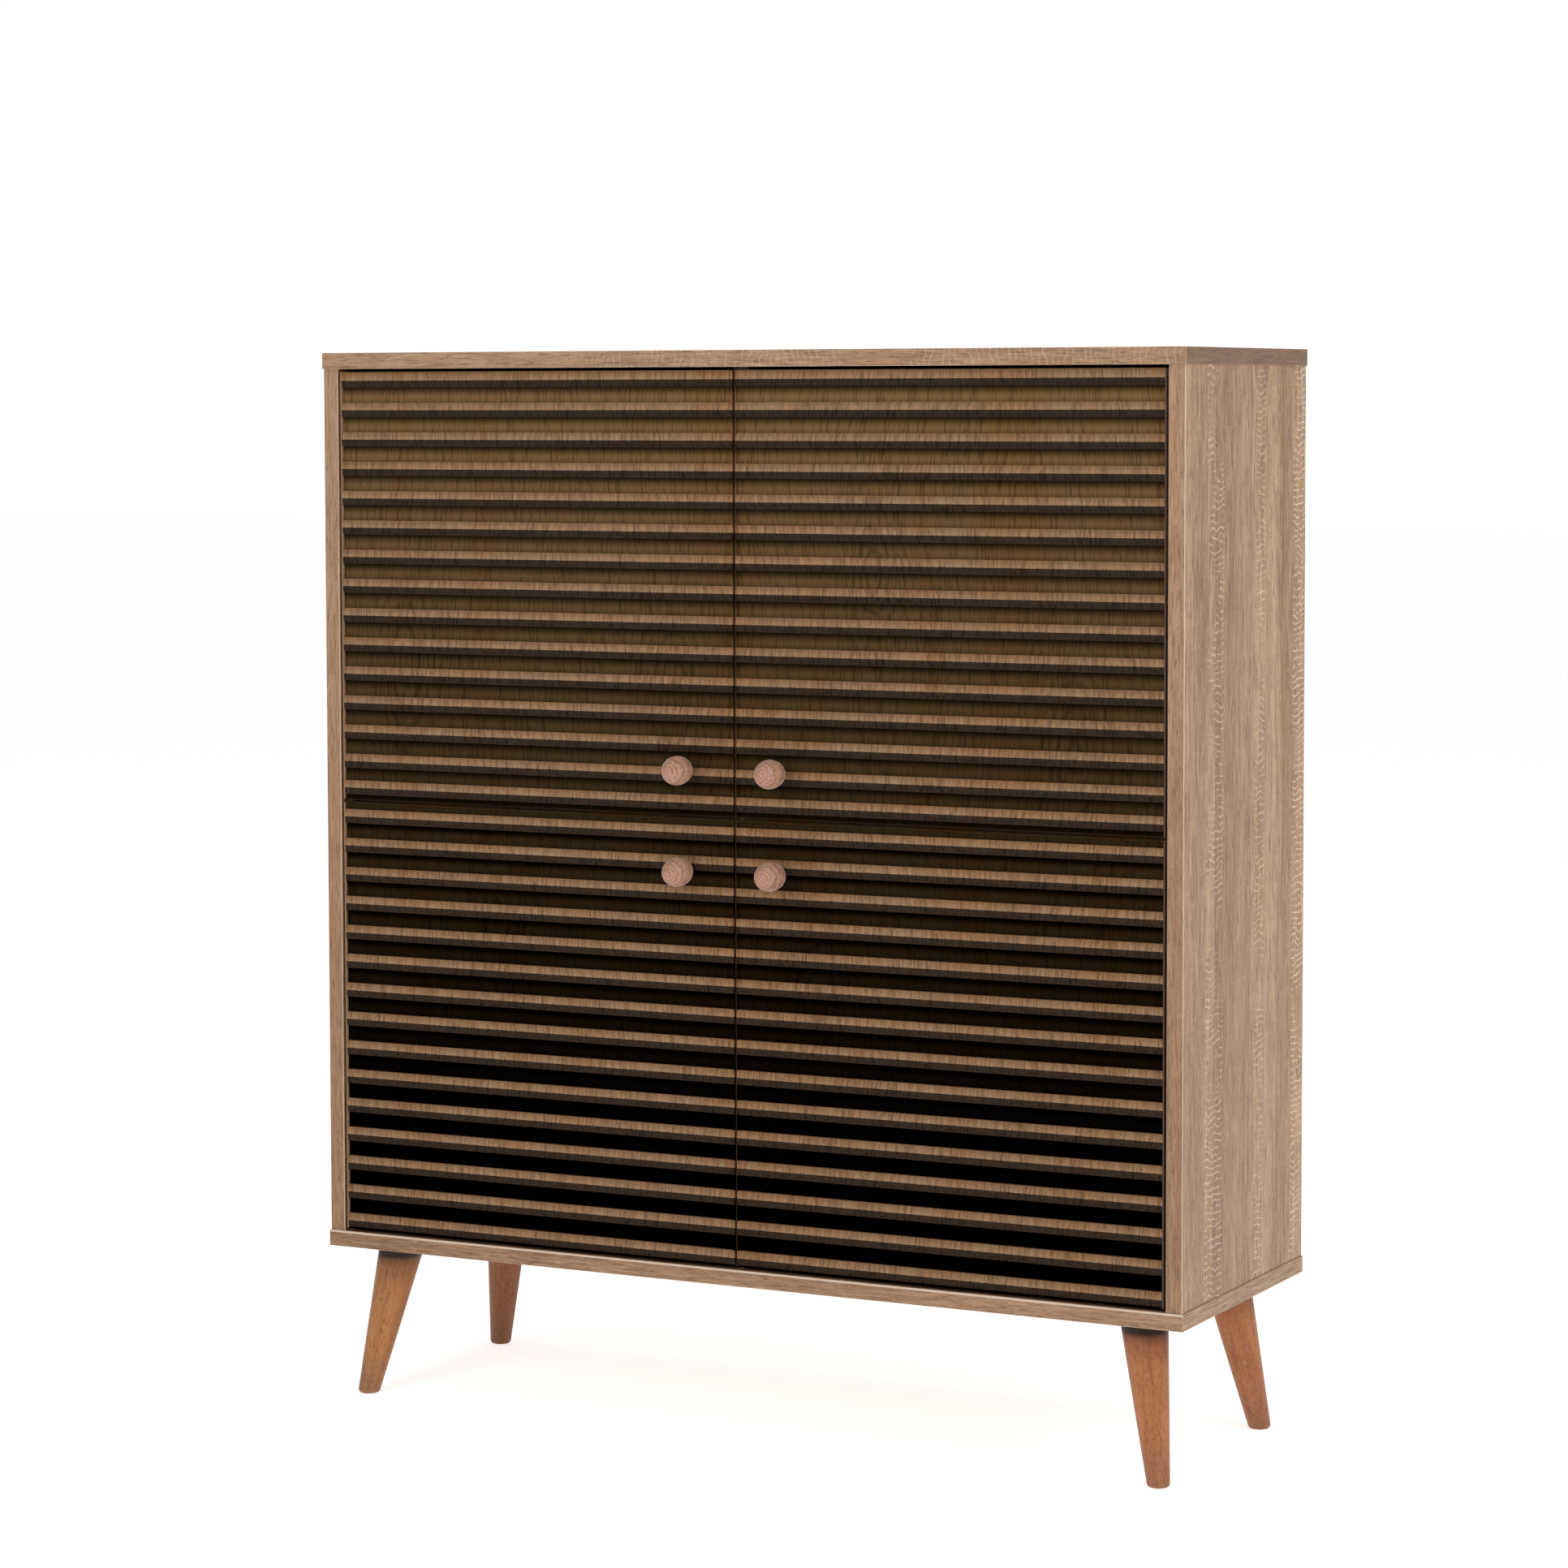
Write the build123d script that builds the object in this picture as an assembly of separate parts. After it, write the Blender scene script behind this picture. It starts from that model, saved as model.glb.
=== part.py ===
from build123d import *
import math
import os

# Shoe cabinet on four splayed legs, with four slatted doors on concealed hinges.
# Millimetres. X runs along the width, the front faces -Y, +Z is up. The origin is at the
# centre of the bounding box's base, knobs included.

# ---- driving dimensions ----
body_width = 1040.0
body_depth = 350.0
body_height = 1010.0
leg_height = 170.0
board = 18.0
knob_reach = 44.0            # knob tips, ahead of the front of the top board
arris = 0.5                  # small chamfer on every laminated edge
overshoot = 1.0              # how far a cut runs past the face that it opens

side_inset = 1.5             # outer faces of the sides, in from the ends of the top board
side_setback = 1.5           # front edges of the sides, behind the front of the top board
mid_height = 677.5           # centre of the gap between the upper and the lower doors

# ---- back ----
back_thickness = 3.0
groove_width = 3.4
groove_depth = 6.0
groove_entry = 5.5           # how far a back sheet enters its groove
groove_from_rear = 8.3       # rear face of the board to the rear wall of the groove
joiner_web = 1.2
joiner_flange = 14.0
joiner_wall = 0.8
joiner_gap = 0.1             # between the joiner and each face of the back sheets

# ---- doors ----
door_setback = 1.0           # front of the doors, behind the front edges of the sides
door_panel_thickness = 12.0
relief = 4.0                 # how far the slats and the rim stand out of the panel
rim = 1.5                    # width of the raised rim along the panel's edges
edge_gap = 3.0               # between a door and a side, and between two doors
top_gap = 3.5                # above the upper doors and below the lower ones
slat_count = 15
slat_pitch = 32.8
slat_light = 8.2             # height of the upper, light facet
slat_dark = 7.6              # height of the lower, dark facet
slat_lean_top = 0.6          # how far the top of the light facet leans back
slat_lean_bottom = 1.2       # how far the bottom of the dark facet leans back
upper_last_rise = 2.9        # the lowest slat of an upper door sits this much higher

# ---- knobs ----
knob_x = 56.0
knob_above_gap = 52.0
knob_below_gap = 57.5
knob_radius = 15.7
knob_widest = 26.0           # widest ring, ahead of the front of the slats
knob_rear_semi_axis = 21.0
knob_neck_radius = 3.4
knob_clearance = 0.25
knob_screw_radius = 2.0
knob_screw_head_radius = 4.5
knob_screw_head = 2.4
knob_screw_depth = 18.0      # depth of the hole in the knob
knob_screw_tip_gap = 1.0     # left free at the bottom of that hole
knob_screw_clearance = 0.1   # round the screw where it passes through the door

# ---- shelves ----
shelf_board = 15.0
shelf_front_setback = 24.5   # front edge of an adjustable shelf, behind the fixed shelf's
shelf_side_gap = 1.0
fixed_setback = 2.0          # front edges of the divider and fixed shelves, behind the doors
rear_setback = 2.0           # rear edges of the boards, ahead of the back's joiner
shelves_per_bay = 2
pin_radius = 2.5
pin_depth = 8.0
pin_reach = 8.0
hole_depth = 8.5
hole_pitch = 32.0
pin_inset = 37.0             # pin rows, in from the front and rear edges of a shelf

# ---- knock-down fittings ----
cam_radius = 7.5
cam_depth = 12.5
cam_reach = 24.0             # centre of a cam, from the end of its board
bolt_radius = 3.0
bolt_depth = 8.5
dowel_radius = 4.0
dowel_depth = 8.0
dowel_reach = 22.0
fitting_edge = 45.0          # outer fittings, in from the front and rear edges

# ---- legs ----
leg_top_radius = 25.5
leg_foot_radius = 11.9
leg_foot_round = 4.0
leg_slope = 0.17             # sideways travel per unit of height, both ways
leg_spare = 20.0             # length of cone past each end, before the level cuts
foot_from_end = 35.5
foot_from_front = 23.5
foot_from_rear = 34.5
leg_bolt_radius = 4.0
leg_bolt_in_leg = 36.0
leg_bolt_in_board = 12.0
insert_radius = 6.0
insert_height = 14.0

# ---- hinges: u runs in from the side's inner face, v runs back from the slats' front ----
hinge_from_edge = 90.0       # hinge heights, in from a door's top and bottom edges
cup_u = 25.5
cup_radius = 17.5
cup_wall = 1.0
cup_depth = 10.5
cup_fit = 0.1
flange_thickness = 1.2
lip_thickness = 0.5
flange_width = 14.0
flange_length = 60.0
flange_shift = 6.0
flange_corner = 6.0
cup_screw_spacing = 48.0
cup_screw_radius = 1.75
cup_screw_depth = 9.0
pivot_u, pivot_v = 22.0, 14.0
pivot_radius = 1.5
pivot_clearance = 0.05
nose_radius = 3.5
arm_width = 13.0
arm_points = ((6.0, 72.0), (6.0, 27.0), (9.0, 22.5), (19.2, 11.9), (24.87, 16.0),
              (16.5, 28.0), (16.5, 72.0))
link_width = 8.0
link_slot = 8.8
slot_radius = 7.0
link_half_thickness = 1.2
link_eye_radius = 3.2
link_points = ((22.0, 14.0), (30.9, 15.9), (38.3, 15.3), (38.9, 9.3))
link_tip_radius = 1.5
rail_height = 6.0
rail_from, rail_to = 30.0, 68.0
rail_width = 14.0
wing_from, wing_to = 41.0, 53.0
wing_length = 46.0
wing_thickness = 2.5
plate_screw_spacing = 32.0
plate_screw_radius = 2.0
plate_screw_depth = 12.0
screw_head_radius = 3.6
screw_head = 1.6

# ---- derived places ----
half_width = body_width / 2
total_depth = body_depth + knob_reach
front_y = -total_depth / 2 + knob_reach
rear_y = front_y + body_depth
floor_z = leg_height + board
ceiling_z = leg_height + body_height - board
inner_x = half_width - side_inset - board
side_front_y = front_y + side_setback
slat_front_y = side_front_y + door_setback
panel_front_y = slat_front_y + relief
panel_back_y = panel_front_y + door_panel_thickness
fixed_front_y = panel_back_y + fixed_setback
groove_rear_y = rear_y - groove_from_rear
groove_front_y = groove_rear_y - groove_width
back_front_y = groove_front_y + (groove_width - back_thickness) / 2
joiner_front_y = back_front_y - joiner_gap - joiner_wall
board_rear_y = joiner_front_y - rear_setback
fitting_front_y = fixed_front_y + fitting_edge
fitting_rear_y = board_rear_y - fitting_edge
fitting_mid_y = (fitting_front_y + fitting_rear_y) / 2
fixed_shelf_z = mid_height - board / 2
shelf_front_y = fixed_front_y + shelf_front_setback
pin_rows_y = (shelf_front_y + pin_inset, board_rear_y - pin_inset)
door_outer_x = inner_x - edge_gap
door_inner_x = edge_gap / 2
upper_door = (mid_height + edge_gap / 2, ceiling_z - top_gap)
lower_door = (floor_z + top_gap, mid_height - edge_gap / 2)
compartments = {"upper": (fixed_shelf_z + board, ceiling_z), "lower": (floor_z, fixed_shelf_z)}
doors = {"upper": upper_door, "lower": lower_door}
sides = {"left": -1, "right": 1}
knob_heights = {"upper": mid_height + knob_above_gap, "lower": mid_height - knob_below_gap}


def block(x0, x1, y0, y1, z0, z1, edge=0.0):
    """A box between two corners, with every edge chamfered when edge is given."""
    size = (abs(x1 - x0), y1 - y0, z1 - z0)
    centre = ((x0 + x1) / 2, (y0 + y1) / 2, (z0 + z1) / 2)
    solid = Pos(*centre) * Box(*size)
    if edge:
        solid = chamfer(solid.edges(), edge)
    return solid


def rod(start, end, radius):
    """A cylinder from one point to another."""
    direction = Vector(*end) - Vector(*start)
    return Solid.make_cylinder(radius, direction.length, Plane(origin=start, z_dir=direction))


def group(solids):
    """Separate solids kept together in one node."""
    return Compound(children=[Solid(piece.wrapped) for part in solids for piece in part.solids()])


def cut(solid, tools):
    """The solid less every tool."""
    return solid - tools if tools else solid


def save(name, shape):
    export_step(shape, f"parts/{name}.step")


def shelf_heights(level):
    """Undersides of the adjustable shelves, which divide a compartment evenly."""
    low, high = compartments[level]
    bay = (high - low - shelves_per_bay * shelf_board) / (shelves_per_bay + 1)
    return [low + bay + i * (bay + shelf_board) for i in range(shelves_per_bay)]


def hinge_heights(level):
    low, high = doors[level]
    return (low + hinge_from_edge, high - hinge_from_edge)


# ---- knock-down fittings ----
def cam_fitting(mouth, along, face, cam_face):
    """A cam in a board's end and the bolt that stands in its neighbour.

    mouth is where the bolt leaves the neighbour, along points from there into the cam's
    board, and face points from the board's middle to the face that the cam is let into.
    """
    mouth, along, face = Vector(*mouth), Vector(*along), Vector(*face)
    bolt = rod(mouth - along * bolt_depth, mouth + along * cam_reach, bolt_radius)
    centre = mouth + along * cam_reach
    outer = centre + face * cam_face
    cam_body = rod(outer - face * cam_depth, outer, cam_radius)
    return cam_body, bolt


def upright_fittings():
    """Cams, bolts and dowels that hold the sides and the divider to the top and bottom."""
    cams, bolts, dowels = [], [], []
    uprights = {"left": (-1, -inner_x - board / 2), "right": (1, inner_x + board / 2), "mid": (-1, 0.0)}
    for side, x in uprights.values():
        face = (-side, 0, 0)
        for z, up in ((floor_z, 1), (ceiling_z, -1)):
            for y in (fitting_front_y, fitting_rear_y):
                cam, bolt = cam_fitting((x, y, z), (0, 0, up), face, board / 2)
                cams.append(cam)
                bolts.append(bolt)
            low, high = z - up * dowel_depth, z + up * dowel_reach
            dowels.append(rod((x, fitting_mid_y, low), (x, fitting_mid_y, high), dowel_radius))
    return cams, bolts, dowels


def shelf_fittings():
    """Cams, bolts and dowels that hold the fixed shelves to the sides and the divider."""
    cams, bolts, dowels = [], [], []
    for side in sides.values():
        for x, along in ((side * inner_x, -side), (side * board / 2, side)):
            for y in (fitting_front_y, fitting_rear_y):
                cam, bolt = cam_fitting((x, y, mid_height), (along, 0, 0), (0, 0, -1), board / 2)
                cams.append(cam)
                bolts.append(bolt)
            ends = (x - along * dowel_depth, x + along * dowel_reach)
            low, high = ((end, fitting_mid_y, mid_height) for end in ends)
            dowels.append(rod(low, high, dowel_radius))
    return cams, bolts, dowels


upright_cams, upright_bolts, upright_dowels = upright_fittings()
shelf_cams, shelf_bolts, shelf_dowels = shelf_fittings()
cams = [cut(cam, bolt) for cam, bolt in zip(upright_cams + shelf_cams, upright_bolts + shelf_bolts)]
fitting_holes = upright_cams + upright_bolts + upright_dowels + shelf_cams + shelf_bolts + shelf_dowels


def holes_in(solid):
    """The fittings whose boxes meet a board, so that each board is cut only where needed."""
    box = solid.bounding_box()
    found = []
    for tool in fitting_holes:
        other = tool.bounding_box()
        apart = (other.min.X >= box.max.X or other.max.X <= box.min.X
                 or other.min.Y >= box.max.Y or other.max.Y <= box.min.Y
                 or other.min.Z >= box.max.Z or other.max.Z <= box.min.Z)
        if not apart:
            found.append(tool)
    return found


# ---- shelf pins ----
def pin_holes(face_x, into):
    """System holes in one upright face; into is the direction from the face into the board."""
    holes = []
    for level in compartments:
        for under in shelf_heights(level):
            for row in pin_rows_y:
                for step in (-1, 0, 1):
                    z = under - pin_radius + step * hole_pitch
                    start = (face_x, row, z)
                    holes.append(rod(start, (face_x + into * hole_depth, row, z), pin_radius))
    return holes


def shelf_pins():
    pins = []
    for level in compartments:
        for under in shelf_heights(level):
            for side in sides.values():
                for face_x, into in ((side * inner_x, side), (side * board / 2, -side)):
                    for row in pin_rows_y:
                        z = under - pin_radius
                        start = (face_x + into * pin_depth, row, z)
                        pins.append(rod(start, (face_x - into * pin_reach, row, z), pin_radius))
    return pins


# ---- legs ----
def leg_line(side, row):
    """Foot centre and top centre of one leg."""
    foot_y = front_y + foot_from_front if row == "front" else rear_y - foot_from_rear
    inward = 1 if row == "front" else -1
    travel = leg_slope * leg_height
    foot = Vector(side * (half_width - foot_from_end), foot_y, 0)
    top = foot + Vector(-side * travel, inward * travel, leg_height)
    return foot, top


legs = {f"{row}_{name}": leg_line(side, row) for row in ("front", "rear") for name, side in sides.items()}


def slab(z0, z1):
    return block(-half_width, half_width, front_y, rear_y, z0, z1)


def leg(foot, top):
    """A tapered round leg, cut level at the floor and under the bottom board."""
    direction = (top - foot).normalized()
    length = (top - foot).length
    taper = (leg_top_radius - leg_foot_radius) / length
    start = foot - direction * leg_spare
    cone = Solid.make_cone(leg_foot_radius - taper * leg_spare, leg_top_radius + taper * leg_spare,
                           length + 2 * leg_spare, Plane(origin=start, z_dir=direction))
    solid = slab(0, leg_height) & cone
    foot_edge = solid.edges().group_by(Axis.Z)[0]
    solid = fillet(foot_edge, leg_foot_round)
    return solid - rod(top - direction * leg_bolt_in_leg, top + direction * leg_spare, leg_bolt_radius)


def leg_bolt(foot, top):
    direction = (top - foot).normalized()
    return rod(top - direction * leg_bolt_in_leg, top + direction * leg_bolt_in_board, leg_bolt_radius)


def leg_insert_hole(foot, top):
    direction = (top - foot).normalized()
    reach = direction * (board + insert_radius)
    return slab(leg_height, leg_height + insert_height) & rod(top - reach, top + reach, insert_radius)


def leg_insert(foot, top):
    direction = (top - foot).normalized()
    reach = direction * (board + insert_radius)
    return leg_insert_hole(foot, top) - rod(top - reach, top + reach, leg_bolt_radius)


# ---- carcass ----
def back_groove():
    """The tongue-shaped space that the grooves leave for both back sheets."""
    x = inner_x + groove_depth
    return block(-x, x, groove_front_y, groove_rear_y, floor_z - groove_depth, ceiling_z + groove_depth)


def level_board(z, extra):
    solid = block(-half_width, half_width, front_y, rear_y, z, z + board, arris)
    return cut(solid, holes_in(solid) + [back_groove()] + extra)


def side_panel(side):
    outer = side * (inner_x + board)
    low, high = sorted((side * inner_x, outer))
    solid = block(low, high, side_front_y, rear_y, floor_z, ceiling_z, arris)
    return cut(solid, holes_in(solid) + pin_holes(side * inner_x, side) + [back_groove()])


def centre_divider():
    half = board / 2
    solid = block(-half, half, fixed_front_y, board_rear_y, floor_z, ceiling_z, arris)
    return cut(solid, holes_in(solid) + pin_holes(-half, 1) + pin_holes(half, -1))


def fixed_shelf(side):
    low, high = sorted((side * board / 2, side * inner_x))
    z = fixed_shelf_z
    solid = block(low, high, fixed_front_y, board_rear_y, z, z + board, arris)
    return cut(solid, holes_in(solid))


def adjustable_shelf(side, under):
    low, high = sorted((side * (board / 2 + shelf_side_gap), side * (inner_x - shelf_side_gap)))
    return block(low, high, shelf_front_y, board_rear_y, under, under + shelf_board, arris)


def back_sheet(side):
    near = joiner_web / 2 + joiner_gap
    low, high = sorted((side * near, side * (inner_x + groove_entry)))
    return block(low, high, back_front_y, back_front_y + back_thickness,
                 floor_z - groove_entry, ceiling_z + groove_entry)


def back_joiner():
    """An H-shaped strip that holds the two back sheets edge to edge."""
    half = joiner_flange / 2
    rear_flange_y = back_front_y + back_thickness + joiner_gap
    front_flange = block(-half, half, joiner_front_y, joiner_front_y + joiner_wall, floor_z, ceiling_z)
    rear_flange = block(-half, half, rear_flange_y, rear_flange_y + joiner_wall, floor_z, ceiling_z)
    web = block(-joiner_web / 2, joiner_web / 2, joiner_front_y, rear_flange_y, floor_z, ceiling_z)
    return front_flange + web + rear_flange


# ---- doors ----
def slat_lines(level):
    """Heights of the ridges between the light and the dark facets, from the top down."""
    low, high = doors[level]
    if level == "upper":
        first = high - rim - slat_light
        ridges = [first - i * slat_pitch for i in range(slat_count)]
        ridges[-1] += upper_last_rise
    else:
        last = low + rim + slat_dark
        ridges = [last + (slat_count - 1 - i) * slat_pitch for i in range(slat_count)]
    return ridges


def knob_axis(side, level):
    return side * knob_x, knob_heights[level]


def cup_centres(side, level):
    return [(side * (inner_x - cup_u), z) for z in hinge_heights(level)]


def door_panel(side, level):
    """A flat panel with a thin raised rim round its front and two hinge cup bores behind."""
    low, high = doors[level]
    left, right = sorted((side * door_inner_x, side * door_outer_x))
    behind = panel_back_y + overshoot
    solid = block(left, right, slat_front_y, panel_back_y, low, high, arris)
    solid -= block(left + rim, right - rim, slat_front_y - overshoot, panel_front_y,
                   low + rim, high - rim)
    for x, z in cup_centres(side, level):
        solid -= rod((x, panel_back_y - cup_depth, z), (x, behind, z), cup_radius + cup_fit)
    for x, z in cup_screw_places(side, level):
        solid -= rod((x, panel_back_y - cup_screw_depth, z), (x, behind, z), cup_screw_radius)
    x, z = knob_axis(side, level)
    passage_radius = knob_screw_radius + knob_screw_clearance
    return solid - rod((x, panel_front_y - overshoot, z), (x, behind, z), passage_radius)


def slat(side, ridge):
    """One slat: a light facet leaning back above the ridge and a dark one below it."""
    left, right = sorted((side * door_inner_x, side * door_outer_x))
    outline = Polyline(
        (panel_front_y, ridge + slat_light),
        (slat_front_y + slat_lean_top, ridge + slat_light),
        (slat_front_y, ridge),
        (slat_front_y + slat_lean_bottom, ridge - slat_dark),
        (panel_front_y, ridge - slat_dark),
        close=True)
    section = Plane.YZ.offset(left + rim) * make_face(outline)
    return extrude(section, amount=right - left - 2 * rim, dir=(1, 0, 0))


def door_slats(side, level):
    x, z = knob_axis(side, level)
    neck = rod((x, slat_front_y - overshoot, z), (x, panel_front_y + overshoot, z),
               knob_neck_radius + knob_clearance)
    slats = []
    for ridge in slat_lines(level):
        piece = slat(side, ridge)
        if ridge - slat_dark - knob_radius < z < ridge + slat_light + knob_radius:
            piece = piece - neck
        slats.append(piece)
    return group(slats)


def knob(side, level):
    """A turned egg-shaped knob on a straight neck, blind drilled for its screw."""
    x, z = knob_axis(side, level)
    tip = knob_reach + side_setback + door_setback
    rear_angle = math.degrees(math.asin(knob_neck_radius / knob_radius))
    centre = (knob_widest, 0)
    front_half = EllipticalCenterArc(centre, tip - knob_widest, knob_radius, 0, arc_size=90)
    rear_half = EllipticalCenterArc(centre, knob_rear_semi_axis, knob_radius, 90, arc_size=90 - rear_angle)
    neck_x = (rear_half @ 1).X
    neck = Polyline((neck_x, knob_neck_radius), (-relief, knob_neck_radius), (-relief, 0), (tip, 0))
    outline = make_face(Wire([front_half.edge(), rear_half.edge()] + list(neck.edges())))
    ball = revolve(outline, Axis.X)
    placed = Pos(x, slat_front_y, z) * Rot(0, 0, -90) * ball
    end_y = panel_front_y - knob_screw_depth
    return placed - rod((x, end_y, z), (x, panel_front_y + overshoot, z), knob_screw_radius)


def knob_screw(side, level):
    x, z = knob_axis(side, level)
    end_y = panel_front_y - knob_screw_depth + knob_screw_tip_gap
    shank = rod((x, end_y, z), (x, panel_back_y + knob_screw_head / 2, z), knob_screw_radius)
    head = rod((x, panel_back_y, z), (x, panel_back_y + knob_screw_head, z), knob_screw_head_radius)
    head = fillet(head.edges().group_by(Axis.Y)[-1], knob_screw_head / 2)
    return shank + head


# ---- hinges ----
def place(side, u, v, z):
    """A point given from the side's inner face and the slats' front."""
    return (side * (inner_x - u), slat_front_y + v, z)


def cup_screw_places(side, level):
    u = cup_u + flange_shift
    offsets = (-cup_screw_spacing / 2, cup_screw_spacing / 2)
    return [(side * (inner_x - u), z + dz) for z in hinge_heights(level) for dz in offsets]


def hinge_cup(side, z):
    """A drawn cup let into the door, with a screwed flange on the door's inner face."""
    x = side * (inner_x - cup_u)
    back = panel_back_y
    shell = rod((x, back - cup_depth, z), (x, back, z), cup_radius)
    centre_x = side * (inner_x - cup_u - flange_shift)
    half = flange_width / 2
    flange = block(centre_x - half, centre_x + half, back, back + flange_thickness,
                   z - flange_length / 2, z + flange_length / 2)
    flange = fillet(flange.edges().filter_by(Axis.Y), flange_corner)
    lip = rod((x, back, z), (x, back + lip_thickness, z), cup_radius)
    mouth = back + flange_thickness + overshoot
    hollow = rod((x, back - cup_depth + cup_wall, z), (x, mouth, z), cup_radius - cup_wall)
    return shell + flange + lip - hollow


def flange_holes(side, level):
    low, high = panel_back_y - overshoot, panel_back_y + flange_thickness + overshoot
    return [rod((x, low, z), (x, high, z), cup_screw_radius) for x, z in cup_screw_places(side, level)]


def hinge_cups(side, level):
    holes = flange_holes(side, level)
    return group([hinge_cup(side, z) - holes for z in hinge_heights(level)])


def headed_screw(tip, seat, radius, normal):
    """A screw whose head rests on a plate at seat and stands out along normal."""
    seat, normal = Vector(*seat), Vector(*normal)
    shank = rod(tip, seat, radius)
    head = rod(seat, seat + normal * screw_head, screw_head_radius)
    return shank + head


def cup_screws(side, level):
    screws = []
    for x, z in cup_screw_places(side, level):
        seat_y = panel_back_y + flange_thickness
        tip = (x, panel_back_y - cup_screw_depth, z)
        screws.append(headed_screw(tip, (x, seat_y, z), cup_screw_radius, (0, 1, 0)))
    return group(screws)


def profile(side, points, z, width):
    """A plate cut to points given as u, v, centred on z."""
    outline = [place(side, u, v, z - width / 2)[:2] for u, v in points]
    face = make_face(Polyline(*outline, close=True))
    return extrude(Pos(0, 0, z - width / 2) * face, amount=width, dir=(0, 0, 1))


def upright_rod(side, u, v, z, radius, width):
    low, high = place(side, u, v, z - width / 2), place(side, u, v, z + width / 2)
    return rod(low, high, radius)


def hinge_arm(side, z):
    """The arm on the side panel, forked at its nose to take the link and its pin."""
    body = profile(side, arm_points, z, arm_width)
    body = body + upright_rod(side, pivot_u, pivot_v, z, nose_radius, arm_width)
    body = body - upright_rod(side, pivot_u, pivot_v, z, slot_radius, link_slot)
    return body - upright_rod(side, pivot_u, pivot_v, z, pivot_radius, arm_width)


def hinge_pin(side, z):
    return upright_rod(side, pivot_u, pivot_v, z, pivot_radius, arm_width)


def link_bar(side, start, end, z):
    """One straight stretch of the bent link."""
    run_u, run_v = end[0] - start[0], end[1] - start[1]
    length = math.hypot(run_u, run_v)
    off_u, off_v = -run_v / length * link_half_thickness, run_u / length * link_half_thickness
    corners = ((start[0] + off_u, start[1] + off_v), (end[0] + off_u, end[1] + off_v),
               (end[0] - off_u, end[1] - off_v), (start[0] - off_u, start[1] - off_v))
    return profile(side, corners, z, link_width)


def hinge_link(side, z):
    """The bent link that reaches from the arm's pin into the mouth of the cup."""
    body = upright_rod(side, pivot_u, pivot_v, z, link_eye_radius, link_width)
    for start, end in zip(link_points, link_points[1:]):
        body = body + link_bar(side, start, end, z)
    for u, v in link_points[1:-1]:
        body = body + upright_rod(side, u, v, z, link_half_thickness, link_width)
    tip_u, tip_v = link_points[-1]
    body = body + upright_rod(side, tip_u, tip_v, z, link_tip_radius, link_width)
    return body - upright_rod(side, pivot_u, pivot_v, z, pivot_radius + pivot_clearance, link_width)


def plate_screw_places(z):
    return (z - plate_screw_spacing / 2, z + plate_screw_spacing / 2)


def hinge_plate(side, z):
    """The wing plate screwed to the side, with the rail that carries the arm."""
    rail_points = ((0, rail_from), (rail_height, rail_from), (rail_height, rail_to), (0, rail_to))
    wing_points = ((0, wing_from), (wing_thickness, wing_from), (wing_thickness, wing_to), (0, wing_to))
    solid = profile(side, rail_points, z, rail_width) + profile(side, wing_points, z, wing_length)
    for screw_z in plate_screw_places(z):
        solid = solid - plate_screw_hole(side, screw_z, wing_thickness)
    return solid


def plate_screw_hole(side, z, height):
    v = (wing_from + wing_to) / 2
    return rod(place(side, -plate_screw_depth, v, z), place(side, height, v, z), plate_screw_radius)


def plate_screw(side, z):
    v = (wing_from + wing_to) / 2
    tip = place(side, -plate_screw_depth, v, z)
    return headed_screw(tip, place(side, wing_thickness, v, z), plate_screw_radius, (-side, 0, 0))


def hinge_places():
    return [(side, z) for side in sides.values() for level in doors for z in hinge_heights(level)]


def plate_screw_holes(side):
    heights = [z for level in doors for z in hinge_heights(level)]
    return [plate_screw_hole(side, screw_z, overshoot) for z in heights for screw_z in plate_screw_places(z)]


# ---- write every node ----
os.makedirs("parts", exist_ok=True)

save("top_panel", level_board(ceiling_z, []))
save("bottom_panel", level_board(leg_height, [leg_insert_hole(*line) for line in legs.values()]))
save("centre_divider", centre_divider())
save("back_joiner", back_joiner())
for name, side in sides.items():
    save(f"{name}_side_panel", cut(side_panel(side), plate_screw_holes(side)))
    save(f"{name}_fixed_shelf", fixed_shelf(side))
    save(f"{name}_back_sheet", back_sheet(side))

for level in compartments:
    for name, side in sides.items():
        for number, under in enumerate(shelf_heights(level), 1):
            save(f"{level}_{name}_shelf_{number}", adjustable_shelf(side, under))

save("cam_locks", group(cams))
save("cam_bolts", group(upright_bolts + shelf_bolts))
save("wood_dowels", group(upright_dowels + shelf_dowels))
save("shelf_pins", group(shelf_pins()))

for name, line in legs.items():
    save(f"{name}_leg", leg(*line))
save("leg_bolts", group([leg_bolt(*line) for line in legs.values()]))
save("leg_inserts", group([leg_insert(*line) for line in legs.values()]))

save("hinge_plates", group([hinge_plate(*spot) for spot in hinge_places()]))
save("hinge_arms", group([hinge_arm(*spot) for spot in hinge_places()]))
save("hinge_pins", group([hinge_pin(*spot) for spot in hinge_places()]))
screw_spots = [(side, screw_z) for side, z in hinge_places() for screw_z in plate_screw_places(z)]
save("plate_screws", group([plate_screw(*spot) for spot in screw_spots]))

for level in doors:
    for name, side in sides.items():
        door = f"{level}_{name}"
        save(f"{door}_door_panel", door_panel(side, level))
        save(f"{door}_door_slats", door_slats(side, level))
        save(f"{door}_knob", knob(side, level))
        save(f"{door}_knob_screw", knob_screw(side, level))
        save(f"{door}_hinge_cups", hinge_cups(side, level))
        save(f"{door}_cup_screws", cup_screws(side, level))
        save(f"{door}_hinge_links", group([hinge_link(side, z) for z in hinge_heights(level)]))
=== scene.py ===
import math

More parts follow.
